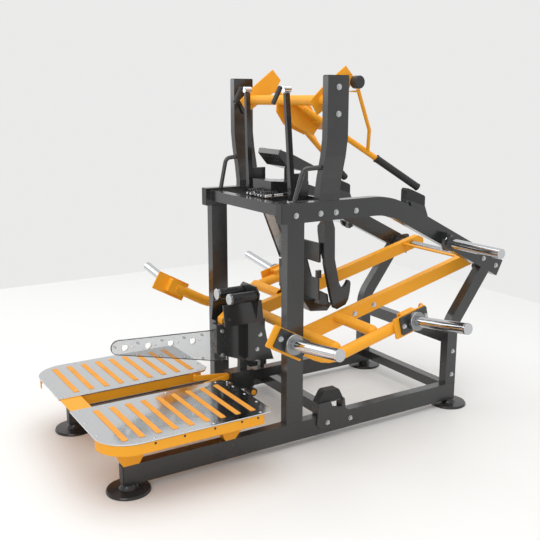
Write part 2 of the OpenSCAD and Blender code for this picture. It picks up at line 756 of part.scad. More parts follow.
catch_shaft();
catch_arms();
catch_plates();
yoke_tube();
yoke_arms();
yoke_handles();
handle_grips();
yoke_knobs();
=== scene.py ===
import json
import math
import random

import bmesh
import bpy
from mathutils import Matrix, Vector


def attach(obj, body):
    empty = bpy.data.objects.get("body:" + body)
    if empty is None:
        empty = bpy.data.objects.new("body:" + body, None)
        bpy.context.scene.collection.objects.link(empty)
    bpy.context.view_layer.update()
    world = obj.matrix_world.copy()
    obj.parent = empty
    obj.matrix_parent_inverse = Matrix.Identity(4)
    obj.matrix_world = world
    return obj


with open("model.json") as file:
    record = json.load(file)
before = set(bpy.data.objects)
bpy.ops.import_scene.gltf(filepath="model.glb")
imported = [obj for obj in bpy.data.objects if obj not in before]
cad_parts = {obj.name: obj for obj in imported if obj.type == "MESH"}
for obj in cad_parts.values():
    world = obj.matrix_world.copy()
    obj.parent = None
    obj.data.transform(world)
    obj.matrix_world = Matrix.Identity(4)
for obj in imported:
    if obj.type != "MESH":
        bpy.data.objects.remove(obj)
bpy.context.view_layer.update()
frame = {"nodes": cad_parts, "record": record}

# Lengths of pieces are in millimetres, with y counted from the middle of the front feet.
# Lengths inside materials and geometry trees are in metres.
MM = 0.001
MIDDLE_Y = 1011.0  # y of the middle of the machine
SHARP_ANGLE = math.radians(32)  # edges sharper than this stay hard
FULL_TURN = 2 * math.pi


def at(x, y, z):
    """A millimetre point as a point of the frame, in metres."""
    return Vector((x * MM, (y - MIDDLE_Y) * MM, z * MM))


# ---------------------------------------------------------------- shared shader groups

def shader_group(name, inputs, outputs):
    """A new shader node group; inputs are (name, type, default) and outputs (name, type)."""
    tree = bpy.data.node_groups.new(name, "ShaderNodeTree")
    for socket_name, kind, default in inputs:
        socket = tree.interface.new_socket(socket_name, in_out="INPUT", socket_type=kind)
        socket.default_value = default
    for socket_name, kind in outputs:
        tree.interface.new_socket(socket_name, in_out="OUTPUT", socket_type=kind)
    return tree, tree.nodes.new("NodeGroupInput"), tree.nodes.new("NodeGroupOutput")


def wire(tree, source, target):
    """Links an output socket to an input socket."""
    tree.links.new(source, target)


def place(tree, kind, **settings):
    """A node with its properties and, by socket name or number in "inputs", its values."""
    values = settings.pop("inputs", {})
    node = tree.nodes.new(kind)
    for key, value in settings.items():
        setattr(node, key, value)
    for key, value in values.items():
        node.inputs[key].default_value = value
    return node


def product(tree, first, second, **settings):
    """Output of a node that multiplies two value sockets."""
    node = place(tree, "ShaderNodeMath", operation="MULTIPLY", **settings)
    wire(tree, first, node.inputs[0])
    wire(tree, second, node.inputs[1])
    return node.outputs["Value"]


def object_noise(tree, scale=None, **values):
    """Noise on object coordinates; scale is a socket, other values are plain numbers."""
    where = place(tree, "ShaderNodeTexCoord")
    noise = place(tree, "ShaderNodeTexNoise", inputs=values)
    wire(tree, where.outputs["Object"], noise.inputs["Vector"])
    if scale:
        wire(tree, scale, noise.inputs["Scale"])
    return noise.outputs["Fac"]


FLOAT, VECTOR, MATERIAL = "NodeSocketFloat", "NodeSocketVector", "NodeSocketMaterial"
BEVEL_SAMPLES = 4
PEEL_HEIGHT = 0.0006  # depth of the orange peel at full strength
LINE_HEIGHT = 0.0002  # depth of brush lines at full strength


def make_powder_relief():
    """Orange-peel skin of a powder coat, with softened edges."""
    tree, given, result = shader_group(
        "powder_relief",
        [("Scale", FLOAT, 900.0), ("Depth", FLOAT, 0.1), ("Edge", FLOAT, 0.0015)],
        [("Normal", VECTOR)])
    skin = object_noise(tree, given.outputs["Scale"], Detail=2.0, Roughness=0.45)
    soft = place(tree, "ShaderNodeBevel", samples=BEVEL_SAMPLES)
    bump = place(tree, "ShaderNodeBump", inputs={"Distance": PEEL_HEIGHT})
    wire(tree, given.outputs["Edge"], soft.inputs["Radius"])
    wire(tree, given.outputs["Depth"], bump.inputs["Strength"])
    wire(tree, skin, bump.inputs["Height"])
    wire(tree, soft.outputs["Normal"], bump.inputs["Normal"])
    wire(tree, bump.outputs["Normal"], result.inputs["Normal"])
    return tree


def make_patches():
    """A slow, uneven mask: where a finish is a little cleaner or duller."""
    tree, given, result = shader_group(
        "patches", [("Scale", FLOAT, 6.0), ("Low", FLOAT, 0.35), ("High", FLOAT, 0.7)],
        [("Mask", FLOAT)])
    cloud = object_noise(tree, given.outputs["Scale"], Detail=5.0, Roughness=0.6)
    fit = place(tree, "ShaderNodeMapRange", interpolation_type="SMOOTHSTEP")
    wire(tree, cloud, fit.inputs["Value"])
    wire(tree, given.outputs["Low"], fit.inputs["From Min"])
    wire(tree, given.outputs["High"], fit.inputs["From Max"])
    wire(tree, fit.outputs["Result"], result.inputs["Mask"])
    return tree


def make_worn_and_highlit_edges():
    """Mask of the outer edges, broken up by noise: rubbed paint, and a painted highlight along
    the edges.
    """
    tree, given, result = shader_group(
        "worn_and_highlit_edges", [("Width", FLOAT, 0.003), ("Amount", FLOAT, 0.6)], [("Mask", FLOAT)])
    soft = place(tree, "ShaderNodeBevel", samples=BEVEL_SAMPLES)
    face = place(tree, "ShaderNodeNewGeometry")
    turn = place(tree, "ShaderNodeVectorMath", operation="DOT_PRODUCT")
    edge = place(tree, "ShaderNodeMapRange",
                 inputs={"From Min": 0.995, "From Max": 0.86, "To Min": 0.0, "To Max": 1.0})
    rub = object_noise(tree, Scale=22.0, Detail=6.0)
    wire(tree, given.outputs["Width"], soft.inputs["Radius"])
    wire(tree, soft.outputs["Normal"], turn.inputs[0])
    wire(tree, face.outputs["True Normal"], turn.inputs[1])
    wire(tree, turn.outputs["Value"], edge.inputs["Value"])
    broken = product(tree, edge.outputs["Result"], rub)
    level = product(tree, broken, given.outputs["Amount"], use_clamp=True)
    wire(tree, level, result.inputs["Mask"])
    return tree


def make_dust():
    """Fine dust that lies on faces that look up."""
    tree, given, result = shader_group(
        "settled_dust", [("Amount", FLOAT, 0.15), ("Scale", FLOAT, 30.0)], [("Mask", FLOAT)])
    face = place(tree, "ShaderNodeNewGeometry")
    parts = place(tree, "ShaderNodeSeparateXYZ")
    up = place(tree, "ShaderNodeMapRange", inputs={"From Min": 0.5, "From Max": 1.0})
    cloud = object_noise(tree, given.outputs["Scale"], Detail=8.0, Roughness=0.7)
    wire(tree, face.outputs["Normal"], parts.inputs["Vector"])
    wire(tree, parts.outputs["Z"], up.inputs["Value"])
    lying = product(tree, up.outputs["Result"], cloud)
    level = product(tree, lying, given.outputs["Amount"], use_clamp=True)
    wire(tree, level, result.inputs["Mask"])
    return tree


def make_brush_lines():
    """Long fine brush lines; Stretch squeezes the pattern across the lines."""
    tree, given, result = shader_group(
        "brush_lines", [("Stretch", VECTOR, (400.0, 6.0, 400.0))], [("Lines", FLOAT)])
    where = place(tree, "ShaderNodeTexCoord")
    squeeze = place(tree, "ShaderNodeVectorMath", operation="MULTIPLY")
    lines = place(tree, "ShaderNodeTexNoise", inputs={"Scale": 1.0, "Detail": 3.0})
    wire(tree, where.outputs["Object"], squeeze.inputs[0])
    wire(tree, given.outputs["Stretch"], squeeze.inputs[1])
    wire(tree, squeeze.outputs["Vector"], lines.inputs["Vector"])
    wire(tree, lines.outputs["Fac"], result.inputs["Lines"])
    return tree


POWDER = make_powder_relief()
PATCHES = make_patches()
WORN_AND_HIGHLIT_EDGES = make_worn_and_highlit_edges()
DUST = make_dust()
BRUSH = make_brush_lines()

# ---------------------------------------------------------------- materials

PALE_DUST, GREY_DUST = (0.62, 0.60, 0.57), (0.5, 0.49, 0.47)
COAT_ROUGHNESS = 0.12
MIX_FIRST, MIX_SECOND, MIX_RESULT = 6, 7, 2  # the colour sockets of a mix node


def new_finish(name, **values):
    """A material with its node tree and its Principled shader, set to these plain values."""
    material = bpy.data.materials.new(name)
    material.use_nodes = True
    tree = material.node_tree
    shader = tree.nodes["Principled BSDF"]
    for key, value in values.items():
        shader.inputs[key.replace("_", " ")].default_value = value
    return material, tree, shader


def use(tree, group, **values):
    """Places a shared group in a material with its own values."""
    node = place(tree, "ShaderNodeGroup", node_tree=group)
    for key, value in values.items():
        node.inputs[key].default_value = value
    return node


def blend_colours(tree, mask, first, second):
    """Colour that goes from first to second with the mask; either may be a socket."""
    mix = place(tree, "ShaderNodeMix", data_type="RGBA")
    wire(tree, mask, mix.inputs["Factor"])
    for slot, colour in ((MIX_FIRST, first), (MIX_SECOND, second)):
        if isinstance(colour, tuple):
            mix.inputs[slot].default_value = (*colour, 1.0)
        else:
            wire(tree, colour, mix.inputs[slot])
    return mix.outputs[MIX_RESULT]


def blend_values(tree, mask, low, high):
    """Value that goes from low to high with the mask."""
    fit = place(tree, "ShaderNodeMapRange", inputs={"To Min": low, "To Max": high})
    wire(tree, mask, fit.inputs["Value"])
    return fit.outputs["Result"]


def painted(name, base, deep, edge, rough, peel, dust, edge_amount, coat, gloss):
    """Powder coat: slow colour change, edges made lighter as rubbed paint and as a painted
    highlight, dust on top and an orange-peel skin.
    """
    material, tree, shader = new_finish(name, Roughness=rough, Coat_Weight=coat,
                                        Coat_Roughness=COAT_ROUGHNESS,
                                        Specular_IOR_Level=gloss)
    patch = use(tree, PATCHES, Scale=3.0, Low=0.3, High=0.75)
    wear_and_highlight = use(tree, WORN_AND_HIGHLIT_EDGES, Width=0.0025, Amount=edge_amount)
    fall = use(tree, DUST, Amount=dust, Scale=40.0)
    relief = use(tree, POWDER, Scale=700.0, Depth=peel, Edge=0.002)
    body = blend_colours(tree, patch.outputs["Mask"], base, deep)
    # lighter edges: partly rubbed paint, partly a painted highlight along the edges
    edged = blend_colours(tree, wear_and_highlight.outputs["Mask"], body, edge)
    dusty = blend_colours(tree, fall.outputs["Mask"], edged, PALE_DUST)
    wire(tree, dusty, shader.inputs["Base Color"])
    wire(tree, blend_values(tree, patch.outputs["Mask"], rough - 0.05, rough + 0.08),
         shader.inputs["Roughness"])
    wire(tree, relief.outputs["Normal"], shader.inputs["Normal"])
    return material


def bright_metal(name, colour, rough, stretch, depth, edge=0.0012):
    """Plated or polished metal with faint lines and softened edges."""
    material, tree, shader = new_finish(name, Metallic=1.0, Roughness=rough)
    lines = use(tree, BRUSH, Stretch=stretch)
    smear = use(tree, PATCHES, Scale=14.0, Low=0.35, High=0.8)
    relief = use(tree, POWDER, Scale=60.0, Depth=0.02, Edge=edge)
    dark = tuple(c * 0.86 for c in colour)
    wire(tree, blend_colours(tree, lines.outputs["Lines"], dark, colour),
         shader.inputs["Base Color"])
    wire(tree, blend_values(tree, smear.outputs["Mask"], rough * 0.75, rough * 1.5 + 0.02),
         shader.inputs["Roughness"])
    bump = place(tree, "ShaderNodeBump", inputs={"Strength": depth,
                                                 "Distance": LINE_HEIGHT})
    wire(tree, lines.outputs["Lines"], bump.inputs["Height"])
    wire(tree, relief.outputs["Normal"], bump.inputs["Normal"])
    wire(tree, bump.outputs["Normal"], shader.inputs["Normal"])
    return material


def moulded(name, colour, worn, rough, grain, depth, dust):
    """Rubber or plastic with a moulded grain."""
    material, tree, shader = new_finish(name, Roughness=rough)
    patch = use(tree, PATCHES, Scale=9.0, Low=0.3, High=0.8)
    fall = use(tree, DUST, Amount=dust, Scale=60.0)
    relief = use(tree, POWDER, Scale=grain, Depth=depth, Edge=0.002)
    body = blend_colours(tree, patch.outputs["Mask"], colour, worn)
    wire(tree, blend_colours(tree, fall.outputs["Mask"], body, GREY_DUST),
         shader.inputs["Base Color"])
    wire(tree, blend_values(tree, patch.outputs["Mask"], rough - 0.06, rough + 0.08),
         shader.inputs["Roughness"])
    wire(tree, relief.outputs["Normal"], shader.inputs["Normal"])
    return material


def clear_sheet(name, tint, rough):
    """Smoked see-through sheet with a slow smear."""
    material, tree, shader = new_finish(name, Roughness=rough, Transmission_Weight=0.92,
                                        IOR=1.3)
    smear = use(tree, PATCHES, Scale=8.0, Low=0.4, High=0.9)
    relief = use(tree, POWDER, Scale=30.0, Depth=0.02, Edge=0.0015)
    wire(tree, blend_colours(tree, smear.outputs["Mask"], tint, tuple(c * 0.93 for c in tint)),
         shader.inputs["Base Color"])
    wire(tree, blend_values(tree, smear.outputs["Mask"], rough, rough + 0.05),
         shader.inputs["Roughness"])
    wire(tree, relief.outputs["Normal"], shader.inputs["Normal"])
    return material


# edge colours are lighter than the body: rubbed paint and a painted edge highlight
CHARCOAL = painted("charcoal_powder_coat", base=(0.020, 0.0205, 0.0215),
                   deep=(0.014, 0.0145, 0.015), edge=(0.075, 0.077, 0.08), rough=0.26,
                   peel=0.06, dust=0.04, edge_amount=0.7, coat=0.5, gloss=0.5)
ORANGE = painted("orange_yellow_powder_coat", base=(0.88, 0.385, 0.028),
                 deep=(0.83, 0.35, 0.020), edge=(0.90, 0.42, 0.05), rough=0.38,
                 peel=0.08, dust=0.01, edge_amount=0.6, coat=0.03, gloss=0.18)
CHROME = bright_metal("polished_chrome", (0.66, 0.67, 0.69), rough=0.10,
                      stretch=(30.0, 900.0, 900.0), depth=0.05)
ZINC = bright_metal("zinc_plate", (0.58, 0.59, 0.60), rough=0.20,
                    stretch=(500.0, 500.0, 500.0), depth=0.10, edge=0.0008)
PLATE_STEEL = bright_metal("brushed_plate_steel", (0.70, 0.71, 0.72), rough=0.13,
                           stretch=(6.0, 700.0, 700.0), depth=0.07)
SHAFT_STEEL = bright_metal("ground_shaft_steel", (0.50, 0.51, 0.52), rough=0.25,
                           stretch=(20.0, 700.0, 700.0), depth=0.10)
RUBBER = moulded("black_rubber", (0.016, 0.016, 0.017), (0.024, 0.024, 0.025), rough=0.62,
                 grain=1400.0, depth=0.30, dust=0.06)
FOOT_BLACK = moulded("gloss_black_foot", (0.014, 0.014, 0.015), (0.020, 0.020, 0.021),
                     rough=0.24, grain=300.0, depth=0.04, dust=0.05)
PLASTIC = moulded("black_plastic", (0.020, 0.020, 0.021), (0.028, 0.028, 0.029), rough=0.45,
                  grain=1100.0, depth=0.18, dust=0.05)
ROLLER_SKIN = moulded("smooth_roller_plastic", (0.018, 0.018, 0.020),
                      (0.026, 0.026, 0.028), rough=0.26, grain=500.0, depth=0.05, dust=0.03)
GRIT = moulded("gritty_orange_strip", (0.80, 0.335, 0.035), (0.72, 0.29, 0.028), rough=0.75,
               grain=2600.0, depth=0.55, dust=0.02)
DARK_STEEL = bright_metal("dull_collar_steel", (0.34, 0.345, 0.35), rough=0.34,
                          stretch=(60.0, 60.0, 60.0), depth=0.04)
SHIELD = clear_sheet("smoked_shield_sheet", (0.34, 0.335, 0.325), rough=0.12)
CLEAR = clear_sheet("smoked_guard_sheet", (0.66, 0.68, 0.69), rough=0.03)

FINISH = {
    "frame_paint": CHARCOAL, "lever_paint": ORANGE, "bright": CHROME, "bolt_steel": ZINC,
    "plate_steel": PLATE_STEEL, "shaft_steel": SHAFT_STEEL, "black_rubber": RUBBER,
    "foot_rubber": FOOT_BLACK, "grip_strip": GRIT, "black_plastic": PLASTIC,
    "roller_plastic": ROLLER_SKIN, "clear_sheet": CLEAR,
}
for entry in frame["record"]["subparts"]:
    mesh = frame["nodes"][entry["node"]].data
    mesh.materials.clear()
    mesh.materials.append(FINISH[entry["material_slot"]])

# ---------------------------------------------------------------- making pieces


class Shape:
    """Collects simple solids for one piece; every length given to it is in millimetres."""

    def __init__(self):
        self.bm = bmesh.new()

    def box(self, low, high):
        """Box between two corners."""
        a, b = at(*low), at(*high)
        corners = [self.bm.verts.new((x, y, z)) for x in (a.x, b.x) for y in (a.y, b.y)
                   for z in (a.z, b.z)]
        for face in ((0, 1, 3, 2), (4, 6, 7, 5), (0, 4, 5, 1), (2, 3, 7, 6), (0, 2, 6, 4),
                     (1, 5, 7, 3)):
            self.bm.faces.new([corners[i] for i in face])

    def turned(self, start, direction, profile, sides=32):
        """Solid of revolution: profile is a list of (along, radius) pairs."""
        axis = Vector(direction).normalized()
        side = axis.orthogonal().normalized()
        other = axis.cross(side)
        origin = at(*start)
        rings = []
        for along, radius in profile:
            centre = origin + axis * along * MM
            if radius <= 0:
                rings.append([self.bm.verts.new(centre)])
                continue
            rings.append([self.bm.verts.new(centre + radius * MM * (
                math.cos(FULL_TURN * i / sides) * side
                + math.sin(FULL_TURN * i / sides) * other)) for i in range(sides)])
        for low, high in zip(rings, rings[1:]):
            for i in range(sides):
                j = (i + 1) % sides
                if len(low) == 1:
                    self.bm.faces.new([low[0], high[j], high[i]])
                elif len(high) == 1:
                    self.bm.faces.new([low[i], low[j], high[0]])
                else:
                    self.bm.faces.new([low[i], low[j], high[j], high[i]])

    def rod(self, start, end, radius, sides=24, chamfer=0.0):
        """Round bar with closed, chamfered ends, from start to end."""
        run = Vector(end) - Vector(start)
        length, c = run.length, chamfer
        self.turned(start, run, [(0, 0), (0, radius - c), (c, radius), (length - c, radius),
                                 (length, radius - c), (length, 0)], sides)

    def pipe(self, points, radius, sides=16):
        """Round bar along a list of points."""
        path = [Vector(p) for p in points]
        side = (path[1] - path[0]).orthogonal().normalized()
        rings = []
        for i, p in enumerate(path):
            ahead = path[min(i + 1, len(path) - 1)] - path[max(i - 1, 0)]
            axis = ahead.normalized()
            side = (side - side.dot(axis) * axis).normalized()
            other = axis.cross(side)
            rings.append([self.bm.verts.new(at(*(p + radius * (
                math.cos(FULL_TURN * k / sides) * side
                + math.sin(FULL_TURN * k / sides) * other)))) for k in range(sides)])
        for low, high in zip(rings, rings[1:]):
            for k in range(sides):
                j = (k + 1) % sides
                self.bm.faces.new([low[k], low[j], high[j], high[k]])
        self.bm.faces.new(list(reversed(rings[0])))
        self.bm.faces.new(rings[-1])

    def slab(self, outline, low, high):
        """Flat plate: outline of (y, z) pairs, from low to high along x."""
        first = [self.bm.verts.new(at(low, y, z)) for y, z in outline]
        last = [self.bm.verts.new(at(high, y, z)) for y, z in outline]
        self.bm.faces.new(list(reversed(first)))
        self.bm.faces.new(last)
        for i in range(len(outline)):
            j = (i + 1) % len(outline)
            self.bm.faces.new([first[i], first[j], last[j], last[i]])

    def piece(self, name, finish, body, both=True):
        """Closes the shape, mirrors it to the left side if both, and gives it to its body."""
        bmesh.ops.recalc_face_normals(self.bm, faces=self.bm.faces)
        if both:
            made = bmesh.ops.duplicate(self.bm, geom=list(self.bm.verts) + list(self.bm.edges)
                                       + list(self.bm.faces))["geom"]
            verts = [g for g in made if isinstance(g, bmesh.types.BMVert)]
            bmesh.ops.transform(self.bm, matrix=Matrix.Scale(-1, 4, (1, 0, 0)), verts=verts)
            bmesh.ops.recalc_face_normals(self.bm, faces=self.bm.faces)
        mesh = bpy.data.meshes.new(name)
        self.bm.to_mesh(mesh)
        self.bm.free()
        hand_over(name, mesh, finish, body)


def hand_over(name, mesh, finish, body):
    """Makes the mesh an object with its finish and smooth round faces, and sets its body."""
    mesh.materials.clear()
    mesh.materials.append(finish)
    for polygon in mesh.polygons:
        polygon.material_index = 0
    mesh.shade_smooth()
    mesh.set_sharp_from_angle(angle=SHARP_ANGLE)
    made = bpy.data.objects.new(name, mesh)
    bpy.context.scene.collection.objects.link(made)
    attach(made, body)


# ---------------------------------------------------------------- geometry node trees

def geometry_tree(name, inputs):
    """A new tree with its input and output nodes; its last input is always Finish."""
    tree = bpy.data.node_groups.new(name, "GeometryNodeTree")
    tree.interface.new_socket("Geometry", in_out="INPUT", socket_type="NodeSocketGeometry")
    for socket_name, default in inputs:
        socket = tree.interface.new_socket(socket_name, in_out="INPUT", socket_type=FLOAT)
        socket.default_value = default
    tree.interface.new_socket("Finish", in_out="INPUT", socket_type=MATERIAL)
    tree.interface.new_socket("Geometry", in_out="OUTPUT", socket_type="NodeSocketGeometry")
    return tree, tree.nodes.new("NodeGroupInput"), tree.nodes.new("NodeGroupOutput")


def end_tree(tree, given, result, geometry):
    """Ends a tree: real geometry, then its finish, then the output."""
    solid = place(tree, "GeometryNodeRealizeInstances")
    paint = place(tree, "GeometryNodeSetMaterial")
    wire(tree, geometry, solid.inputs["Geometry"])
    wire(tree, solid.outputs["Geometry"], paint.inputs["Geometry"])
    wire(tree, given.outputs["Finish"], paint.inputs["Material"])
    wire(tree, paint.outputs["Geometry"], result.inputs["Geometry"])


def make_stud_tree():
    """A domed stud on every point, turned to the point's aim."""
    tree, given, result = geometry_tree(
        "studs_on_points", [("Radius", 0.004), ("Height", 0.002)])
    dome = place(tree, "GeometryNodeMeshUVSphere", inputs={"Segments": 16, "Rings": 8})
    size = place(tree, "ShaderNodeCombineXYZ")
    scaled = place(tree, "GeometryNodeTransform")
    aim = place(tree, "GeometryNodeInputNamedAttribute", data_type="FLOAT_VECTOR",
                inputs={"Name": "aim"})
    turn = place(tree, "FunctionNodeAlignRotationToVector", axis="Z")
    spread = place(tree, "GeometryNodeInstanceOnPoints")
    wire(tree, given.outputs["Radius"], size.inputs["X"])
    wire(tree, given.outputs["Radius"], size.inputs["Y"])
    wire(tree, given.outputs["Height"], size.inputs["Z"])
    wire(tree, dome.outputs["Mesh"], scaled.inputs["Geometry"])
    wire(tree, size.outputs["Vector"], scaled.inputs["Scale"])
    wire(tree, aim.outputs["Attribute"], turn.inputs["Vector"])
    wire(tree, given.outputs["Geometry"], spread.inputs["Points"])
    wire(tree, scaled.outputs["Geometry"], spread.inputs["Instance"])
    wire(tree, turn.outputs["Rotation"], spread.inputs["Rotation"])
    end_tree(tree, given, result, spread.outputs["Instances"])
    return tree


def make_ring_tree():
    """Thin raised rings, evenly spaced along each chain of edges."""
    tree, given, result = geometry_tree(
        "rings_on_path", [("Spacing", 0.008), ("Radius", 0.018), ("Bead", 0.0007)])
    path = place(tree, "GeometryNodeMeshToCurve")
    points = place(tree, "GeometryNodeCurveToPoints", mode="LENGTH")
    circle = place(tree, "GeometryNodeCurvePrimitiveCircle", inputs={"Resolution": 28})
    bead = place(tree, "GeometryNodeCurvePrimitiveCircle", inputs={"Resolution": 6})
    ring = place(tree, "GeometryNodeCurveToMesh")
    spread = place(tree, "GeometryNodeInstanceOnPoints")
    wire(tree, given.outputs["Geometry"], path.inputs["Mesh"])
    wire(tree, path.outputs["Curve"], points.inputs["Curve"])
    wire(tree, given.outputs["Spacing"], points.inputs["Length"])
    wire(tree, given.outputs["Radius"], circle.inputs["Radius"])
    wire(tree, given.outputs["Bead"], bead.inputs["Radius"])
    wire(tree, circle.outputs["Curve"], ring.inputs["Curve"])
    wire(tree, bead.outputs["Curve"], ring.inputs["Profile Curve"])
    wire(tree, points.outputs["Points"], spread.inputs["Points"])
    wire(tree, points.outputs["Rotation"], spread.inputs["Rotation"])
    wire(tree, ring.outputs["Mesh"], spread.inputs["Instance"])
    end_tree(tree, given, result, spread.outputs["Instances"])
    return tree


RIPPLE_STEP = 0.25  # part of a ripple between two rings of a bead


def make_weld_tree():
    """A rippled weld bead along each chain of edges."""
    tree, given, result = geometry_tree(
        "weld_bead", [("Size", 0.003), ("Ripple", 0.004)])
    path = place(tree, "GeometryNodeMeshToCurve")
    fine = place(tree, "GeometryNodeResampleCurve", mode="LENGTH")
    where = place(tree, "GeometryNodeSplineParameter")
    turns = place(tree, "ShaderNodeMath", operation="DIVIDE")
    wave = place(tree, "ShaderNodeMath", operation="SINE")
    angle = place(tree, "ShaderNodeMath", operation="MULTIPLY", inputs={1: FULL_TURN})
    fit = place(tree, "ShaderNodeMapRange", inputs={"From Min": -1.0, "To Min": 0.8,
                                                    "To Max": 1.0})
    step = place(tree, "ShaderNodeMath", operation="MULTIPLY", inputs={1: RIPPLE_STEP})
    bead = place(tree, "GeometryNodeCurvePrimitiveCircle",
                 inputs={"Resolution": 8, "Radius": 1.0})
    solid = place(tree, "GeometryNodeCurveToMesh", inputs={"Fill Caps": True})
    wire(tree, given.outputs["Geometry"], path.inputs["Mesh"])
    wire(tree, path.outputs["Curve"], fine.inputs["Curve"])
    wire(tree, given.outputs["Ripple"], step.inputs[0])
    wire(tree, step.outputs["Value"], fine.inputs["Length"])
    wire(tree, where.outputs["Length"], turns.inputs[0])
    wire(tree, given.outputs["Ripple"], turns.inputs[1])
    wire(tree, turns.outputs["Value"], angle.inputs[0])
    wire(tree, angle.outputs["Value"], wave.inputs[0])
    wire(tree, wave.outputs["Value"], fit.inputs["Value"])
    wire(tree, fine.outputs["Curve"], solid.inputs["Curve"])
    wire(tree, bead.outputs["Curve"], solid.inputs["Profile Curve"])
    wire(tree, product(tree, fit.outputs["Result"], given.outputs["Size"]),
         solid.inputs["Scale"])
    end_tree(tree, given, result, solid.outputs["Mesh"])
    return tree


STUDS = make_stud_tree()
RINGS = make_ring_tree()
WELD = make_weld_tree()


def grown(name, tree, verts, edges, values, finish, body, slot, aims=None):
    """Runs a geometry tree on a small guide mesh and keeps the result as a plain piece."""
    guide = bpy.data.meshes.new(name + "_guide")
    guide.from_pydata(verts, edges, [])
    if aims:
        attribute = guide.attributes.new("aim", "FLOAT_VECTOR", "POINT")
        for item, aim in zip(attribute.data, aims):
            item.vector = aim
    holder = bpy.data.objects.new(name + "_guide", guide)
    bpy.context.scene.collection.objects.link(holder)
    modifier = holder.modifiers.new("shape", "NODES")
    modifier.node_group = tree
    identifiers = {item.name: item.identifier for item in tree.interface.items_tree
                   if item.in_out == "INPUT"}
    for key, value in {**values, "Finish": finish}.items():
        modifier[identifiers[key]] = value
    bpy.context.view_layer.update()
    depsgraph = bpy.context.evaluated_depsgraph_get()
    mesh = bpy.data.meshes.new_from_object(holder.evaluated_get(depsgraph))
    mesh.name = name
    bpy.data.objects.remove(holder)
    hand_over(name, mesh, finish, body)


def mirrored(points):
    """The points and their mirror images on the left side."""
    return points + [(-x, y, z) for x, y, z in points]


def chains(paths, closed=True):
    """Vertices and edges of several paths of points."""
    verts, edges = [], []
    for path in paths:
        first = len(verts)
        verts += [at(*p) for p in path]
        edges += [(first + i, first + i + 1) for i in range(len(path) - 1)]
        if closed:
            edges.append((first + len(path) - 1, first))
    return verts, edges


# ---------------------------------------------------------------- frame details

SIDE_X, TUBE, TUBE_H, BEAM_Z = 366.0, 50.0, 90.0, 1123.0
INNER, OUTER = SIDE_X - TUBE / 2, SIDE_X + TUBE / 2
BEAM_START, BEAM_BEND, BEAM_END = 752.0, 1272.0, 2153.0
BEND_R, FALL = 400.0, math.radians(27.0)
POST_X, POST_W, POST_Y0, POST_Y1, POST_TOP = 421.0, 40.0, 954.0, 1067.0, 1721.0
PLUG_GAP = 1.5  # between the edge of a plug and the outside of its tube
WELD_SIZE = {"Size": 0.0026, "Ripple": 0.005}
THICK_WELD = {"Size": 0.003, "Ripple": 0.006}
LARGE_SCREW = {"Radius": 0.011, "Height": 0.006}
SMOOTH = 0.05  # ripple so long that a thin strip looks even

# Plastic plugs in the front ends of the top beams and in the tops of the posts.
plugs = Shape()
half_plug = TUBE_H / 2 - PLUG_GAP
plugs.box((INNER + PLUG_GAP, BEAM_START - 2.5, BEAM_Z - half_plug),
          (OUTER - PLUG_GAP, BEAM_START, BEAM_Z + half_plug))
plugs.box((POST_X - 18, POST_Y0 + 2, POST_TOP), (POST_X + 18, POST_Y1 - 2, POST_TOP + 3))
plugs.piece("beam_and_post_plugs", PLASTIC, "frame")

# Slanted plug at the low rear end of each top beam.
beam_end = Shape()
knee = (BEAM_BEND + BEND_R * math.sin(FALL), BEAM_Z - BEND_R + BEND_R * math.cos(FALL))
run = (BEAM_END - knee[0]) / math.cos(FALL)
along, across = (math.cos(FALL), -math.sin(FALL)), (math.sin(FALL), math.cos(FALL))
middle = (knee[0] + run * along[0], knee[1] + run * along[1])
beam_end.slab([(middle[0] + a * along[0] + c * across[0],
                middle[1] + a * along[1] + c * across[1])
               for a, c in ((0, -42), (1.4, -41), (1.4, 41), (0, 42))],
              INNER + PLUG_GAP, OUTER - PLUG_GAP)
beam_end.piece("beam_rear_plugs", PLASTIC, "frame")


def ring_path(centre, size, z):
    """Rectangle round a tube's foot."""
    (cx, cy), (w, d) = centre, size
    return [(cx - w / 2, cy - d / 2, z), (cx + w / 2, cy - d / 2, z),
            (cx + w / 2, cy + d / 2, z), (cx - w / 2, cy + d / 2, z)]


# Weld beads round the feet and heads of the tubes, and round the ends of the crossbars.
UPRIGHT_Y, REAR_LEG_Y, REAR_LEG_W = 826, 1828, 68
RAIL_TOP, BEAM_UNDER, BEAM_TOP = 122.5, 1077.5, 1168.5
CROSSBAR_ENDS = ((1055, 1105, 62, 121), (1798, 1848, 72, 121), (1800, 1850, 348, 412),
                 (778, 828, 1104, 1156))
weld_paths = []
for sign in (1, -1):
    tube_x = sign * SIDE_X
    weld_paths.append(ring_path((tube_x, UPRIGHT_Y), (TUBE - 1, TUBE_H), RAIL_TOP))
    weld_paths.append(ring_path((tube_x, UPRIGHT_Y), (TUBE - 1, TUBE_H), BEAM_UNDER))
    weld_paths.append(ring_path((tube_x, REAR_LEG_Y), (TUBE - 1, REAR_LEG_W), RAIL_TOP))
    weld_paths.append(ring_path((tube_x, (POST_Y0 + POST_Y1) / 2),
                                (POST_W - 1, POST_Y1 - POST_Y0), BEAM_TOP))
    for y0, y1, z0, z1 in CROSSBAR_ENDS:
        x = sign * (INNER - 0.5)
        weld_paths.append([(x, y0, z0), (x, y1, z0), (x, y1, z1), (x, y0, z1)])
grown("frame_weld_beads", WELD, *chains(weld_paths), WELD_SIZE, CHARCOAL, "frame",
      "frame_paint")

# Bright studs on both faces of the clear guard.
GUARD_X, GUARD_HALF = -30.0, 5.6
STUD_SPOTS = ((222, 507), (343, 501), (458, 495), (555, 492), (109, 506), (215, 450),
              (335, 423), (458, 394), (558, 371))
stud_verts = [at(GUARD_X + s * GUARD_HALF, y, z) for y, z in STUD_SPOTS for s in (1, -1)]
stud_aims = [(s, 0, 0) for _ in STUD_SPOTS for s in (1, -1)]
grown("guard_studs", STUDS, stud_verts, [], {"Radius": 0.006, "Height": 0.003}, ZINC, "frame",
      "bolt_steel", stud_aims)


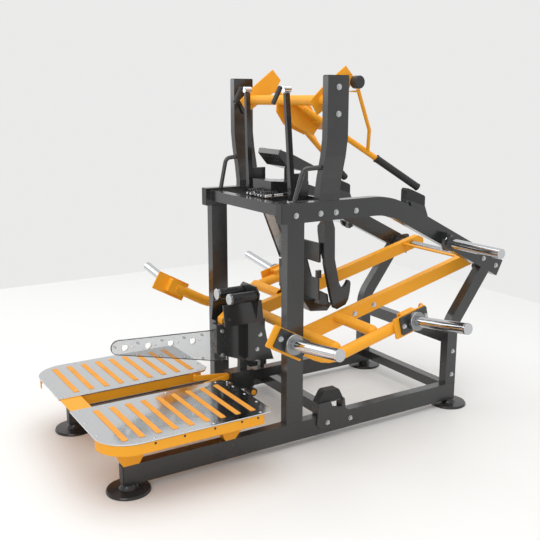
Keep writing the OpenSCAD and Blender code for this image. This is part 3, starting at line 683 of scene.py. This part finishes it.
def side_studs(name, spots, values, finish, slot):
    """Studs on the outer faces of both sides of the frame; spots are on the right side."""
    grown(name, STUDS, [at(*p) for p in mirrored(spots)], [], values, finish, "frame", slot,
          [(1, 0, 0)] * len(spots) + [(-1, 0, 0)] * len(spots))


# Small dark screws along the skirts of both platforms.
side_studs("skirt_screws", [(536, y, 268) for y in (60, 190, 330, 460, 540)],
           {"Radius": 0.0055, "Height": 0.0025}, PLASTIC, "black_plastic")


def arc(cx, cy, radius, first, last, steps):
    """Points of a circle's arc between two angles in degrees."""
    return [(cx + radius * math.cos(math.radians(first + (last - first) * k / steps)),
             cy + radius * math.sin(math.radians(first + (last - first) * k / steps)))
            for k in range(steps + 1)]


# Thin dark gasket between each foot plate and its tray, seen under the plate's outer edge.
GASKET_Z = 279.6
gasket_line = ([(84, -146)] + arc(389.5, 0.5, 146.5, -90, 0, 18)
               + [(536.2, y) for y in (120, 300, 480, 596)] + arc(510, 592, 26.2, 0, 90, 5))
grown("plate_gaskets", WELD, *chains([[(s * x, y, GASKET_Z) for x, y in gasket_line]
                                      for s in (1, -1)], closed=False),
      {"Size": 0.0016, "Ripple": SMOOTH}, RUBBER, "frame", "black_rubber")

# Dark polished edges of the guard: its lower and its upper outline, on both faces.
guard_line = arc(124, 500, 34.2, 90, 250, 14) + [(619, 347.6)]
guard_top = [(124, 534.4), (690, 500.6)]
grown("guard_edges", WELD, *chains([[(x, y, z) for y, z in line] for x in (-25.6, -34.4)
                                    for line in (guard_line, guard_top)], closed=False),
      {"Size": 0.0013, "Ripple": SMOOTH}, PLASTIC, "frame", "black_plastic")

# Bolts of the storage brackets.
side_studs("bracket_bolts", [(431, 1712, 928), (431, 1764, 904)], LARGE_SCREW, ZINC,
           "bolt_steel")

# Round hubs of the feet, up to the rails.
FEET_Y, FOOT_TOP = (0, 1842), 12
feet = Shape()
for y in FEET_Y:
    feet.turned((SIDE_X, y, FOOT_TOP), (0, 0, 1),
                [(0, 0), (0, 44), (6, 38), (16, 30), (19.8, 29), (19.8, 0)], 40)
feet.piece("foot_hubs", FOOT_BLACK, "frame")

# ---------------------------------------------------------------- lever details

TILT = math.radians(8.0)
HORN_AXIS = (math.cos(TILT), 0, math.sin(TILT))
HORNS = ((664, 604), (1352, 602))
FLANGE_FACE, COLLAR_LEN, HORN_LEN = 613, 26, 318
CROSS_TUBES, CROSS_TUBE_R = ((949, 518), (1160, 564)), 27.5

# Bright lips at the outer ends of the weight horns.
lips = Shape()
for y, z in HORNS:
    reach = COLLAR_LEN + HORN_LEN
    start = (FLANGE_FACE + reach * HORN_AXIS[0], y, z + reach * HORN_AXIS[2])
    lips.turned(start, HORN_AXIS, [(-14, 24), (-14, 25.3), (-13, 25.6), (-1.2, 25.6),
                                   (-0.4, 24.8), (-0.4, 24), (-14, 24)], 40)
lips.piece("weight_horn_lips", CHROME, "lever")

# Dull rings round the collars at the inner ends of the horns.
collars = Shape()
for y, z in HORNS:
    collars.turned((FLANGE_FACE + 0.5, y, z), HORN_AXIS,
                   [(1, 42), (1, 44.5), (24, 44.5), (27, 42), (27, 26), (25, 26), (25, 42),
                    (1, 42)], 48)
collars.piece("horn_collar_rings", DARK_STEEL, "lever")

# Yellow lugs behind the rear horn plates.
LUG_SLOPE, LUG_STEPS = math.radians(13.8), 10
rear_y, rear_z = HORNS[1]
lugs = Shape()
for s in (-1, 1):
    cy, cz = rear_y + s * 62 * math.cos(LUG_SLOPE), rear_z + s * 62 * math.sin(LUG_SLOPE)
    lugs.pipe([(582 + 14 * math.cos(t), cy + s * 4, cz + 30 + 22 * math.sin(t))
               for t in [math.pi * k / LUG_STEPS for k in range(LUG_STEPS + 1)]], 4.5, 12)
lugs.piece("horn_plate_lugs", ORANGE, "lever")

# Rounded ends where the cross tubes run into the side tubes.
ends = Shape()
for y, z in CROSS_TUBES:
    ends.turned((533, y, z), (1, 0, 0), [(0, 0), (0, 26.6)] + [
        (4 + 22 * math.sin(math.radians(t)), 26.6 * math.cos(math.radians(t)))
        for t in range(0, 90, 10)] + [(26, 0)], 40)
ends.piece("cross_tube_ends", ORANGE, "lever")

# Weld beads where the cross tubes meet the lever arms.
lever_welds = [[(sign * 266, y + CROSS_TUBE_R * math.cos(t), z + CROSS_TUBE_R * math.sin(t))
                for t in [FULL_TURN * k / 24 for k in range(24)]]
               for sign in (1, -1) for y, z in CROSS_TUBES]
grown("lever_weld_beads", WELD, *chains(lever_welds), THICK_WELD, ORANGE, "lever",
      "lever_paint")

# ---------------------------------------------------------------- yoke details

HANDLE_END, HANDLE_RUN = Vector((305, 1614, 1186)), Vector((-0.41, -1, 0.72))


def on_handle(t):
    """Point of the right handle's axis, t along its run from the grip's free end."""
    return tuple(HANDLE_END + t * HANDLE_RUN)


grip_paths = [[(sign * x, y, z) for x, y, z in (on_handle(6), on_handle(199))]
              for sign in (1, -1)]
grown("grip_ribs", RINGS, *chains(grip_paths, closed=False),
      {"Spacing": 0.007, "Radius": 0.018, "Bead": 0.0009}, RUBBER, "yoke", "black_rubber")

# Thicker rings at both ends of each grip.
grip_ends = Shape()
grip_ends.turned(on_handle(0), tuple(-HANDLE_RUN),
                 [(-2, 0), (-2, 19.5), (2, 19.5), (5, 16), (6, 0)], 40)
grip_ends.turned(on_handle(203), tuple(HANDLE_RUN),
                 [(-5, 0), (-5, 20.5), (3, 20.5), (4, 15), (4, 0)], 40)
grip_ends.piece("grip_end_rings", RUBBER, "yoke")

# Face of the round knob on the right arm, the second tube, and the fins on the main tube.
knobs = Shape()
knobs.turned((385, 1169, 1696), (1, 0, 0), [(-1, 0), (-1, 27), (2, 24), (3, 0)], 40)
knobs.piece("knob_face", PLASTIC, "yoke", both=False)
under = Shape()
under.rod((-120, 1160, 1514), (120, 1160, 1514), 15, 28, 2)
under.piece("yoke_under_tube", ORANGE, "yoke", both=False)
fins = Shape()
fins.slab([(992, 1600), (1032, 1600), (1135, 1588), (1197, 1501), (1154, 1445), (1034, 1497),
           (990, 1560)], 36, 44)
fins.piece("yoke_fins", ORANGE, "yoke")

# ---------------------------------------------------------------- between the masts

# Bright rods of slightly uneven length, each with a thicker nut.
ROD_Z = 1168
works = Shape()
random.seed(4)
for x in (-62, -30, 4, 34, 68, 96):
    length = random.uniform(70, 100)
    y = random.uniform(832, 846)
    works.rod((x, y, ROD_Z), (x, y + length, ROD_Z + 2), random.uniform(5, 8), 16, 1)
    works.rod((x, y + length * 0.3, ROD_Z), (x, y + length * 0.45, ROD_Z), 12, 6)
works.piece("spring_rods", CHROME, "frame", both=False)

# Coil springs between the rods.
COIL_TURNS, TURN_STEPS, COIL_R, COIL_LEN, COIL_Y, COIL_Z = 7, 18, 15, 80, 838, 1174
coil_steps = COIL_TURNS * TURN_STEPS
coil = Shape()
for x in (-46, 20, 82):
    coil.pipe([(x + COIL_R * math.cos(FULL_TURN * k / TURN_STEPS),
                COIL_Y + COIL_LEN * k / coil_steps,
                COIL_Z + COIL_R * math.sin(FULL_TURN * k / TURN_STEPS))
               for k in range(coil_steps + 1)], 3.2, 8)
coil.piece("catch_springs", PLASTIC, "frame", both=False)

# Short fingers near the tops of the masts.
mast_bits = Shape()
mast_bits.rod((181, 875, 1676), (181, 834, 1600), 11, 24, 2)
mast_bits.piece("mast_fingers", PLASTIC, "frame")

# Screws at the front corners of the sloping plate.
corner_verts = [at(*p) for p in mirrored([(76, 940, 1380)])]
grown("sloping_plate_screws", STUDS, corner_verts, [], LARGE_SCREW, ZINC, "frame",
      "bolt_steel", [(0, 0.33, 0.94)] * 2)

# Yellow face of the stop knob under the column's foot.
stop = Shape()
stop.turned((58, 797, 172), (1, 0, 0), [(-2, 0), (-2, 14), (1.5, 14), (2.5, 12), (3.5, 0)], 36)
stop.piece("stop_knob_face", ORANGE, "frame", both=False)

# Clear shield below the top crossmember, with its dark rim on three sides.
SHIELD_X0, SHIELD_X1 = 96, 190
shield = Shape()
shield.slab([(830, 1104), (835, 1104), (932, 872), (927, 870)], SHIELD_X0, SHIELD_X1)
shield.piece("shield_sheet", SHIELD, "frame", both=False)
rim = Shape()
for low, high in ((SHIELD_X0 - 7, SHIELD_X0), (SHIELD_X1, SHIELD_X1 + 5)):
    rim.slab([(828.3, 1104), (838, 1104), (935, 872), (925, 869)], low, high)
rim.slab([(924, 874), (934, 878), (936, 868), (926, 864)], SHIELD_X0 - 7, SHIELD_X1 + 5)
rim.piece("shield_edges", CHARCOAL, "frame", both=False)

# ---------------------------------------------------------------- column details

# Front discs of the two strap rollers' pins, and a screw on each shoulder of the hood.
discs = Shape()
discs.turned((64, 659, 676), (0, -1, 0), [(-1, 0), (-1, 27.4), (2, 27.4), (3.2, 26), (3.2, 9),
                                          (2.2, 8), (2.2, 0)], 48)
discs.piece("roller_end_discs", ZINC, "frame")
shoulder = Shape()
shoulder.turned((72, 655, 578), (1, 0, 0.2), [(-3, 0), (-3, 9), (2, 9), (3, 7), (3, 0)], 24)
shoulder.piece("shoulder_screws", PLASTIC, "frame")

# ---------------------------------------------------------------- floor, light, camera

# The pale floor ends on the left and at the back, where the surround shows instead.
FLOOR_LEFT, FLOOR_REAR, REACH = -3.55, 2.95, 30.0
FLOOR_COLOUR = (0.83, 0.83, 0.82, 1.0)
floor_mesh = bpy.data.meshes.new("pale_floor")
floor_mesh.from_pydata([(FLOOR_LEFT, -REACH, 0), (REACH, -REACH, 0), (REACH, FLOOR_REAR, 0),
                        (FLOOR_LEFT, FLOOR_REAR, 0)], [], [(0, 1, 2, 3)])
floor_mesh.materials.append(new_finish("pale_floor", Base_Color=FLOOR_COLOUR,
                                       Roughness=0.5)[0])
made = bpy.data.objects.new("pale_floor", floor_mesh)
bpy.context.scene.collection.objects.link(made)


def area_light(name, location, target, size, power):
    """Rectangular light aimed at a point; places and sizes in metres, power in watts."""
    data = bpy.data.lights.new(name, "AREA")
    data.shape = "RECTANGLE"
    data.size, data.size_y = size
    data.energy = power
    lamp = bpy.data.objects.new(name, data)
    lamp.location = location
    aim = Vector(target) - Vector(location)
    lamp.rotation_euler = aim.to_track_quat("-Z", "Y").to_euler()
    bpy.context.scene.collection.objects.link(lamp)


area_light("ceiling_panel", (0.2, -0.2, 4.4), (0, 0, 0), (4.5, 4.5), 105)
area_light("front_panel", (3.6, -4.6, 3.0), (0, 0, 0.9), (3.0, 2.6), 48)
area_light("left_panel", (-4.8, -2.6, 2.8), (0, 0, 0.9), (3.0, 2.6), 34)

world = bpy.data.worlds.new("studio")
bpy.context.scene.world = world
world.use_nodes = True
sky = world.node_tree.nodes["Background"]
sky.inputs["Color"].default_value = (0.985, 0.985, 0.98, 1.0)
sky.inputs["Strength"].default_value = 0.84
bpy.context.scene.view_settings.view_transform = "Standard"

camera_data = bpy.data.cameras.new("camera")
camera_data.sensor_width = 36.0
camera_data.lens = 51.6
camera = bpy.data.objects.new("camera", camera_data)
camera.location = at(3244, -1059, 1630)
camera.rotation_euler = (math.radians(77.4), 0, math.radians(58.5))
bpy.context.scene.collection.objects.link(camera)
bpy.context.scene.camera = camera
